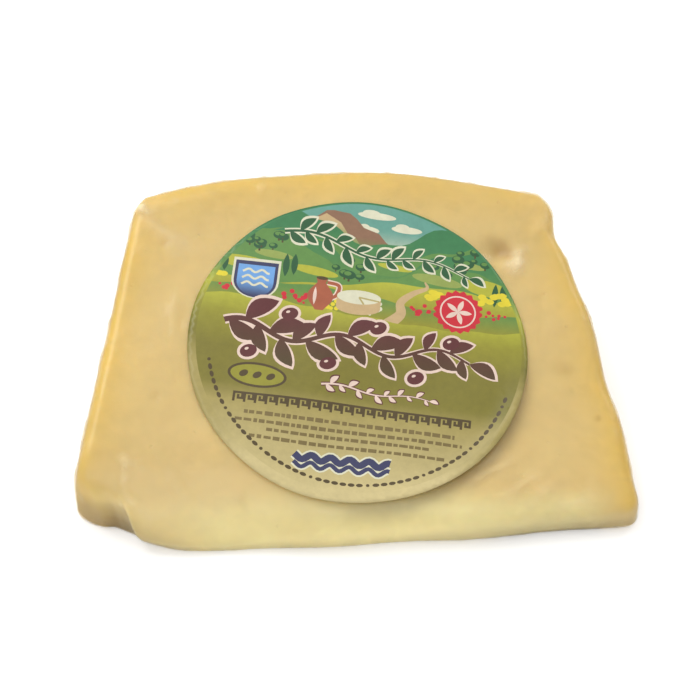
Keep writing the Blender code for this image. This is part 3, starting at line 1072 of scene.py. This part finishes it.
def trees(looks, draw):
    """Olive trees in loose groves, and a few slim cypresses."""
    motifs = []
    groves = ((-24.0, 27.0, 7.0, 9), (27.0, 30.0, 6.0, 8), (-3.0, 22.5, 7.0, 6), (20.0, 25.5, 5.0, 6))
    for x, y, spread, count in groves:
        for _ in range(count):
            px, py = x + spread * draw.uniform(-1.0, 1.0), y + 0.35 * spread * draw.uniform(-1.0, 1.0)
            size = draw.uniform(0.7, 1.3)
            motifs.append(plain(strip([(px, py - 1.5 * size), (px, py)], 0.4 * size), looks.brown))
            motifs.append(plain(oval(px, py, 1.35 * size, size, count=12), looks.tree))
            sunlit = oval(px - 0.3 * size, py + 0.3 * size, 0.75 * size, 0.5 * size, count=10)
            motifs.append(plain(sunlit, looks.hill))
    for k, x in enumerate((-20.5, -18.4, -36.0, 33.0, 35.0)):
        base = 17.6 + 0.8 * math.sin(1.7 * k)
        motifs.append(plain(leaf(x, base, 0.5 * math.pi, 6.6 - 0.6 * (k % 3), 1.7, 0.0), looks.tree))
    return motifs


def flowers(looks, draw):
    """Poppies and daisies in drifts on the near meadow, and broom in flower."""
    motifs = []
    drifts = ((-17.0, 12.6, 3.5, looks.red), (1.0, 11.8, 2.6, looks.cloud), (14.5, 12.8, 3.0, looks.red),
              (-9.0, 11.0, 2.6, looks.yellow), (-33.0, 13.6, 2.4, looks.red), (33.0, 14.4, 2.6, looks.red))
    for x, y, spread, tone in drifts:
        for _ in range(11):
            px, py = x + spread * draw.normal(), y + 0.34 * spread * draw.normal()
            motifs.append(plain(oval(px, py, draw.uniform(0.35, 0.75), count=9), tone))
    for x, y in ((30.0, 18.6), (33.0, 19.8), (35.6, 18.4), (-37.0, 16.6), (16.5, 17.6), (18.8, 18.2)):
        for _ in range(4):
            bloom = oval(x + 1.2 * draw.normal(), y + 0.6 * draw.normal(), 1.1, 0.8, count=10)
            motifs.append(plain(bloom, looks.yellow))
    return motifs


def jug(looks):
    """A plain clay jug with a handle."""
    t = np.linspace(0.0, 1.0, 15)
    half = 1.0 + 2.3 * np.sin(math.pi * np.clip(1.15 * t, 0.0, 1.0)) ** 1.2
    half = half + 0.5 * rising(t, 0.85, 0.15)
    right = np.stack([-11.0 + half, 9.6 + 9.0 * t], axis=1)
    left = np.stack([-11.0 - half, 9.6 + 9.0 * t], axis=1)[::-1]
    handle = smooth_line([(-9.6, 17.6), (-6.6, 17.0), (-6.9, 14.4), (-8.4, 13.2)], 15)
    return [
        plain(strip(handle, 1.6), looks.blush),
        plain(strip(handle, 0.9), looks.clay),
        plain(np.concatenate([right, left]), looks.clay),
        plain(leaf(-12.4, 11.0, 0.5 * math.pi, 5.0, 0.9, 0.0), looks.blush),
        plain(oval(-11.0, 18.6, 1.5, 0.5, count=14), looks.brown),
    ]


def cheese_wheel(looks):
    """A plain cream wheel of cheese, with two cuts drawn on its top."""
    x, top, radius, depth = -1.2, 14.4, 5.6, 3.0
    motifs = [
        plain(oval(x, top - depth, radius, 2.0, count=32), looks.scree),
        plain(strip([(x - radius, top - 0.5 * depth), (x + radius, top - 0.5 * depth)], depth), looks.scree),
        plain(oval(x, top, radius, 2.0, count=32), looks.cloud),
    ]
    for angle in (-0.42 * math.pi, -0.12 * math.pi):
        end = x + radius * math.cos(angle), top + 2.0 * math.sin(angle)
        motifs.append(plain(strip([(x, top), end], 0.45), looks.stone))
    return motifs


def garland(looks):
    """A dark leafy garland with a pale edge, across the hills."""
    t = np.linspace(0.0, 1.0, 37)
    line = np.stack([-22.0 + 48.0 * t, 30.8 - 6.0 * t + 1.5 * np.sin(3.2 * math.pi * t)], axis=1)
    motifs = [plain(outline, looks.cloud) for outline in sprig(line, 19, 6.2, 3.3, 1.7)]
    return motifs + [plain(outline, looks.tree) for outline in sprig(line, 19, 5.4, 2.2, 0.8)]


def large_sprig(looks):
    """The large maroon olive sprig with its pale edge, across the middle band."""
    t = np.linspace(0.0, 1.0, 61)
    line = np.stack([-34.0 + 62.0 * t, 2.2 - 2.0 * t + 2.0 * np.sin(5.0 * math.pi * t + 0.4)], axis=1)
    pale = sprig(line, 19, 10.6, 5.6, 2.6)
    dark = sprig(line, 19, 9.6, 4.3, 1.5)
    fruits = [(-27.0, -4.6), (-18.0, 7.4), (-7.0, -5.4), (4.5, 6.2), (15.0, -6.0), (23.0, 4.6)]
    motifs = [plain(outline, looks.blush) for outline in pale]
    motifs += [plain(oval(x, y, 2.9, 2.4, 0.5), looks.blush) for x, y in fruits]
    motifs += [Motif(outline, (-7.0, looks.brown), (7.0, looks.maroon)) for outline in dark]
    motifs += [plain(oval(x, y, 2.2, 1.7, 0.5), looks.maroon) for x, y in fruits]
    motifs += [plain(oval(x - 0.5, y + 0.5, 0.55, 0.35, 0.5, 10), looks.blush) for x, y in fruits]
    return motifs


def seal(looks):
    """A plain red seal with a scalloped rim and a flower of five petals."""
    x, y = 24.0, 14.0
    angles = np.linspace(0.0, 2.0 * math.pi, 72, endpoint=False)
    rim = 5.9 + 0.35 * np.cos(18.0 * angles)
    motifs = [
        plain(np.stack([x + rim * np.cos(angles), y + rim * np.sin(angles)], axis=1), looks.red),
        plain(oval(x, y, 4.6, count=32), looks.blush),
        plain(oval(x, y, 4.2, count=32), looks.red),
    ]
    return motifs + [plain(leaf(x, y, 0.4 * math.pi * k, 3.6, 1.3, 0.0), looks.blush) for k in range(5)]


def shield(looks):
    """A plain blue shield with three waves."""
    half = np.linspace(0.0, math.pi, 15)
    foot = np.stack([-27.8 + 5.2 * np.cos(half), 15.2 - 4.6 * np.sin(half)], axis=1)
    outline = np.array([(-33.0, 20.6), (-22.6, 20.6)] + foot.tolist())
    middle = outline.mean(axis=0)
    motifs = [
        plain(middle + 1.16 * (outline - middle), looks.cloud),
        plain(middle + 1.05 * (outline - middle), looks.navy),
        Motif(middle + 0.90 * (outline - middle), (11.0, looks.navy), (15.5, looks.blue)),
    ]
    x = np.linspace(-31.2, -24.4, 17)
    for k in range(3):
        line = np.stack([x, 18.2 - 1.9 * k + 0.45 * np.sin(2.0 * math.pi * x / 3.4)], axis=1)
        motifs.append(plain(strip(line, 0.6), looks.cloud))
    return motifs


def meander(start, end, height, y, stroke):
    """Outlines of a key-pattern band: one bent stroke for each repeat."""
    repeats = int((end - start) / (1.2 * height))
    pitch = (end - start) / repeats
    shape = np.array([(0.0, 0.0), (0.0, 1.0), (0.78, 1.0), (0.78, 0.3), (0.4, 0.3), (0.4, 0.62)])
    outlines = []
    for k in range(repeats):
        line = shape * (pitch, height) + (start + k * pitch, y)
        for first, second in zip(line, line[1:]):
            run = (second - first) / np.linalg.norm(second - first) * 0.5 * stroke
            outlines.append(strip([first - run, second + run], stroke))
    return outlines


def small_sprig(looks):
    """A small pale sprig with a dark edge, below the large one."""
    t = np.linspace(0.0, 1.0, 25)
    line = np.stack([-8.0 + 27.0 * t, -11.4 - 0.6 * t + 0.6 * np.sin(3.0 * math.pi * t)], axis=1)
    motifs = [plain(outline, looks.maroon) for outline in sprig(line, 13, 3.3, 1.9, 1.1)]
    return motifs + [plain(outline, looks.blush) for outline in sprig(line, 13, 2.9, 1.3, 0.5)]


def oval_ring(looks):
    """An oval ring with three olives in it."""
    motifs = [
        plain(oval(-24.0, -11.0, 7.4, 3.4, -0.05, 40), looks.brown),
        plain(oval(-24.0, -11.0, 6.7, 2.75, -0.05, 40), looks.olive),
    ]
    for k in range(3):
        motifs.append(plain(oval(-27.4 + 3.4 * k, -10.8 - 0.17 * k, 1.2, 0.85, 0.6, 14), looks.brown))
    return motifs


def thin_rows(looks, draw):
    """Rows of plain dashes of uneven length."""
    motifs = []
    for y, reach, tall in ((-21.2, 26.0, 1.1), (-23.4, 28.0, 1.0), (-25.4, 20.0, 1.0), (-27.6, 24.0, 1.0)):
        x = -reach
        while x < reach:
            run = draw.uniform(0.9, 2.2)
            dash = strip([(x, y), (min(x + run, reach), y)], tall * draw.uniform(0.75, 1.1))
            motifs.append(plain(dash, looks.faint))
            x += run + draw.uniform(0.25, 0.6)
    return motifs


def wave_band(looks):
    """Two dark waves with a pale edge, at the foot of the print."""
    motifs = []
    x = np.linspace(-12.5, 11.0, 47)
    for outset, tone in ((0.9, looks.cloud), (0.0, looks.navy)):
        for k, width in enumerate((1.8, 1.1)):
            line = np.stack([x, -31.2 - 2.0 * k + 0.7 * np.sin(2.0 * math.pi * x / 4.7)], axis=1)
            motifs.append(plain(strip(line, width + outset), tone))
    return motifs


def beaded_arc(looks):
    """An arc of long and round beads along the lower edge."""
    motifs = []
    for k in range(51):
        angle = math.radians(-166.0 + 3.0 * k)
        x, y = 0.8 + 38.3 * math.cos(angle), 1.0 + 38.3 * math.sin(angle)
        size = (0.86, 0.52) if k % 7 else (0.45, 0.45)
        motifs.append(plain(oval(x, y, *size, angle + 0.5 * math.pi, 10), looks.brown))
    return motifs


def print_motifs(looks):
    """Every shape of the print, from the lowest to the uppermost: first its border and its picture."""
    draw = np.random.default_rng(7)
    radius = 0.5 * looks.diameter / MM
    border = Motif(
        oval(0.0, 0.0, radius, count=240),
        (-34.0, looks.cream), (-28.0, looks.stone), (-21.0, looks.khaki), (-9.0, looks.khaki),
        (-1.0, looks.olive_dark), (8.0, looks.olive), (14.0, looks.meadow), (20.0, looks.hill),
        (31.0, looks.hill_dark),
    )
    lower = [
        (-40.0, looks.cream), (-26.0, looks.stone), (-19.0, looks.khaki), (-13.5, looks.olive_dark),
        (-4.0, looks.olive_dark), (5.0, looks.olive),
    ]
    band = land(crest_line(9.6, (-1.4, 0.075, 0.4), (0.3, 0.5, 0.0)))
    motifs = [border, Motif(oval(0.2, 1.2, radius - 1.7, count=160), *lower)]
    motifs += landscape(looks, draw)
    motifs.append(Motif(band, *lower, (11.0, looks.meadow)))
    motifs += jug(looks) + cheese_wheel(looks) + garland(looks) + seal(looks) + shield(looks)
    motifs += large_sprig(looks) + small_sprig(looks) + oval_ring(looks)
    motifs += [plain(outline, looks.brown) for outline in meander(-29.0, 30.0, 2.2, -18.4, 0.62)]
    return motifs + thin_rows(looks, draw) + wave_band(looks) + beaded_arc(looks)


def points_within(radius, spacing):
    """Points in staggered rows that fill a disc, a little short of its edge."""
    rows = np.arange(-radius, radius, spacing)
    points = np.stack(np.meshgrid(rows, rows, indexing="ij"), axis=-1).reshape(-1, 2)
    points[:, 0] += 0.5 * spacing * (np.round((points[:, 1] + radius) / spacing) % 2)
    return points[np.hypot(*points.T) < radius - 0.6 * spacing]


def print_mesh(looks):
    """Flat triangles of the print, cut along every outline, with a colour at each corner."""
    motifs = print_motifs(looks)
    border, picture = motifs[:2]
    radius = 0.5 * looks.diameter / MM
    points = [points_within(radius, looks.grid / MM)]
    edges = []
    count = len(points[0])
    for outline in (motif.outline for motif in motifs):
        points.append(outline)
        edges += [(count + k, count + (k + 1) % len(outline)) for k in range(len(outline))]
        count += len(outline)
    corners = [Vector(place) for place in np.concatenate(points).tolist()]
    result = delaunay_2d_cdt(corners, edges, [], 0, 1e-4)
    places = np.array([vert[:] for vert in result[0]])
    faces = np.array(result[2])
    faces = faces[np.hypot(*places[faces].mean(axis=1).T) < radius - 0.002]
    middles = places[faces].mean(axis=1)
    printed = picture.holds(middles)
    colours = border.colours(places[faces][:, :, 1])
    for motif in motifs[1:]:
        inside = motif.holds(middles) & printed
        colours[inside] = motif.colours(places[faces[inside]][:, :, 1])
    used, index = np.unique(faces, return_inverse=True)
    return places[used], index.reshape(-1, 3), colours


def label_height(form, looks, flat):
    """Height of the sticker's top over the ground: it follows the cut face and lifts at one edge."""
    x, along_face = flat.T
    y = along_face * math.cos(form.cut_angle)
    away = np.hypot(x, along_face)
    angle = np.arctan2(along_face, x)
    edge = smoothly((away - 0.5 * looks.diameter + looks.lift_reach) / (1.4 * looks.lift_reach))
    toward = smoothly(1.6 * (1.0 - np.abs(angle + math.radians(55.0)) / math.radians(62.0)))
    wrinkle = 0.00006 * np.sin(9.0 * angle + 1.0) * edge
    return broad_height(form, x, y) + looks.gap + 1.6 * looks.lift * edge * toward + wrinkle


def label_material():
    """Printed coated paper: the print's colours, a faint mottle and a soft sheen."""
    material = new_material("printed sticker")
    tree = material.node_tree
    ink = add_node(tree, "ShaderNodeAttribute", attribute_name="print").outputs["Color"]
    mottle = cloudy(tree, 500.0, 4.0, 0.65)
    patches = cloudy(tree, 60.0, 2.0)
    tone = maths(tree, "MULTIPLY", varied(tree, mottle, 0.93, 1.06), varied(tree, patches, 0.97, 1.03))
    shader = add_node(tree, "ShaderNodeBsdfPrincipled", {
        "Base Color": multiplied(tree, ink, grey(tree, tone)),
        "Roughness": varied(tree, patches, 0.36, 0.50),
        "Normal": bumped(tree, cloudy(tree, 130.0, 3.0, 0.5), 0.0005, 0.35),
        "Coat Weight": 0.12,
        "Coat Roughness": 0.25,
    })
    finish_with(tree, shader.outputs[0])
    return material


class LabelOperator(Operator):
    """Makes the round printed sticker on the film"""

    bl_idname = "packed_cheese.label"
    bl_label = "Sticker"

    def execute(self, context):
        form, looks = context.scene.wedge_form, context.scene.label_looks
        flat, faces, colours = print_mesh(looks)
        across, up = math.cos(looks.turn), math.sin(looks.turn)
        flat = flat @ np.array([(across, up), (-up, across)]) * MM
        x = flat[:, 0] * math.cos(form.cut_roll)
        y = flat[:, 1] * math.cos(form.cut_angle)
        z = label_height(form, looks, flat)
        points = np.stack([x - form.middle_x, y - form.middle_y, z], axis=1)
        piece = add_piece("sticker", points, faces, ["label"])
        mesh = piece.data
        layer = mesh.color_attributes.new("print", "FLOAT_COLOR", "CORNER")
        alpha = np.ones((len(faces) * 3, 1))
        layer.data.foreach_set("color", np.hstack([colours.reshape(-1, 3), alpha]).ravel().astype(np.float32))
        mesh.materials.append(label_material())
        body = piece.modifiers.new("thickness", "SOLIDIFY")
        body.thickness = looks.thickness
        body.offset = -1.0
        return {"FINISHED"}


def floor_material(looks):
    """Plain pale matt floor."""
    material = new_material("pale floor")
    tree = material.node_tree
    tone = varied(tree, cloudy(tree, 8.0), 0.995, 1.0)
    shader = add_node(tree, "ShaderNodeBsdfPrincipled", {
        "Base Color": mixed(tree, tone, (0.9, 0.9, 0.9, 1.0), shader_colour(looks.floor)),
        "Roughness": 0.9,
        "Emission Color": WHITE,
        "Emission Strength": looks.floor_light,
    })
    finish_with(tree, shader.outputs[0])
    return material


def add_lamp(name, place, size, power):
    """A square soft lamp that points at the middle of the wedge."""
    data = bpy.data.lights.new(name, "AREA")
    data.size = size
    data.energy = power
    lamp = bpy.data.objects.new(name, data)
    lamp.location = place
    lamp.rotation_euler = (Vector((0.0, 0.0, 0.02)) - Vector(place)).to_track_quat("-Z", "Y").to_euler()
    bpy.context.scene.collection.objects.link(lamp)


def add_camera(form, looks):
    """The camera at the photo's angle, turned so that the sticker's middle falls where the photo has it."""
    aim = Vector((-form.middle_x, -form.middle_y, label_y(form) * math.tan(form.cut_angle)))
    e, a = looks.elevation, looks.azimuth
    back = Vector((math.sin(a) * math.cos(e), -math.cos(a) * math.cos(e), math.sin(e)))
    data = bpy.data.cameras.new("camera")
    data.lens = looks.lens
    data.sensor_width = 36.0
    data.sensor_fit = "HORIZONTAL"
    data.clip_start = 0.01
    camera = bpy.data.objects.new("camera", data)
    camera.location = aim + back * looks.distance
    facing = (-back).to_track_quat("-Z", "Y")
    pixel = data.sensor_width / data.lens / FRAME_PIXELS
    middle = FRAME_PIXELS // 2
    aside = Vector((middle - looks.label_at_x, looks.label_at_y - middle, 0.0)) * pixel
    camera.rotation_euler = (facing @ aside - back).to_track_quat("-Z", "Y").to_euler()
    bpy.context.scene.collection.objects.link(camera)
    bpy.context.scene.camera = camera


class StageOperator(Operator):
    """Makes the floor, the soft lamps and the camera"""

    bl_idname = "packed_cheese.stage"
    bl_label = "Stage"

    def execute(self, context):
        form, looks = context.scene.wedge_form, context.scene.stage_looks
        turns = (-1, -1), (1, -1), (1, 1), (-1, 1)
        corners = [(x * FLOOR_HALF, y * FLOOR_HALF, -FLOOR_DROP) for x, y in turns]
        mesh = bpy.data.meshes.new("floor")
        mesh.from_pydata(corners, [], [(0, 1, 2, 3)])
        mesh.materials.append(floor_material(looks))
        floor = bpy.data.objects.new("floor", mesh)
        context.scene.collection.objects.link(floor)
        add_lamp("key lamp", (-0.42, 0.34, 0.76), 0.6, looks.key_power)
        add_lamp("fill lamp", (-0.10, -0.62, 0.72), 0.5, looks.fill_power)
        add_lamp("rim lamp", (0.55, 0.45, 0.50), 0.35, looks.rim_power)
        world = bpy.data.worlds.new("soft room")
        world.use_nodes = True
        tree = world.node_tree
        place = add_node(tree, "ShaderNodeTexCoord").outputs["Generated"]
        rise = add_node(tree, "ShaderNodeSeparateXYZ", {0: place}).outputs["Z"]
        strength = ranged(tree, rise, 0.0, 0.9, looks.horizon_strength, looks.sky_strength)
        tree.nodes["Background"].inputs["Color"].default_value = WHITE
        tree.links.new(strength, tree.nodes["Background"].inputs["Strength"])
        context.scene.world = world
        context.scene.view_settings.view_transform = "Standard"
        add_camera(form, looks)
        return {"FINISHED"}


class CheesePanel(Panel):
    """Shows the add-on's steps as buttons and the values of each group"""

    bl_idname = "VIEW3D_PT_packed_cheese"
    bl_label = "Packed Cheese"
    bl_space_type = "VIEW_3D"
    bl_region_type = "UI"
    bl_category = "Cheese"

    def draw(self, context):
        for step in OPERATORS:
            self.layout.operator(step.bl_idname)
        for name in GROUPS:
            box = self.layout.box()
            box.label(text=name.replace("_", " "))
            group = getattr(context.scene, name)
            for key in group.bl_rna.properties.keys():
                if key not in ("rna_type", "name"):
                    box.prop(group, key)


GROUPS = {
    "wedge_form": WedgeForm,
    "cheese_looks": CheeseLooks,
    "film_looks": FilmLooks,
    "label_looks": LabelLooks,
    "stage_looks": StageLooks,
}
OPERATORS = (StageOperator, CheeseOperator, FilmOperator, LabelOperator)


def register():
    """Adds the add-on's classes and puts its values on the scene."""
    for item in (*GROUPS.values(), *OPERATORS, CheesePanel):
        bpy.utils.register_class(item)
    for name, group in GROUPS.items():
        setattr(bpy.types.Scene, name, PointerProperty(type=group))


def unregister():
    """Takes the values off the scene and removes the add-on's classes."""
    for name in GROUPS:
        delattr(bpy.types.Scene, name)
    for item in reversed((*GROUPS.values(), *OPERATORS, CheesePanel)):
        bpy.utils.unregister_class(item)


def main():
    """Builds the stage and every piece."""
    register()
    bpy.ops.packed_cheese.stage()
    bpy.ops.packed_cheese.cheese()
    bpy.ops.packed_cheese.film()
    bpy.ops.packed_cheese.label()


if __name__ == "__main__":
    main()
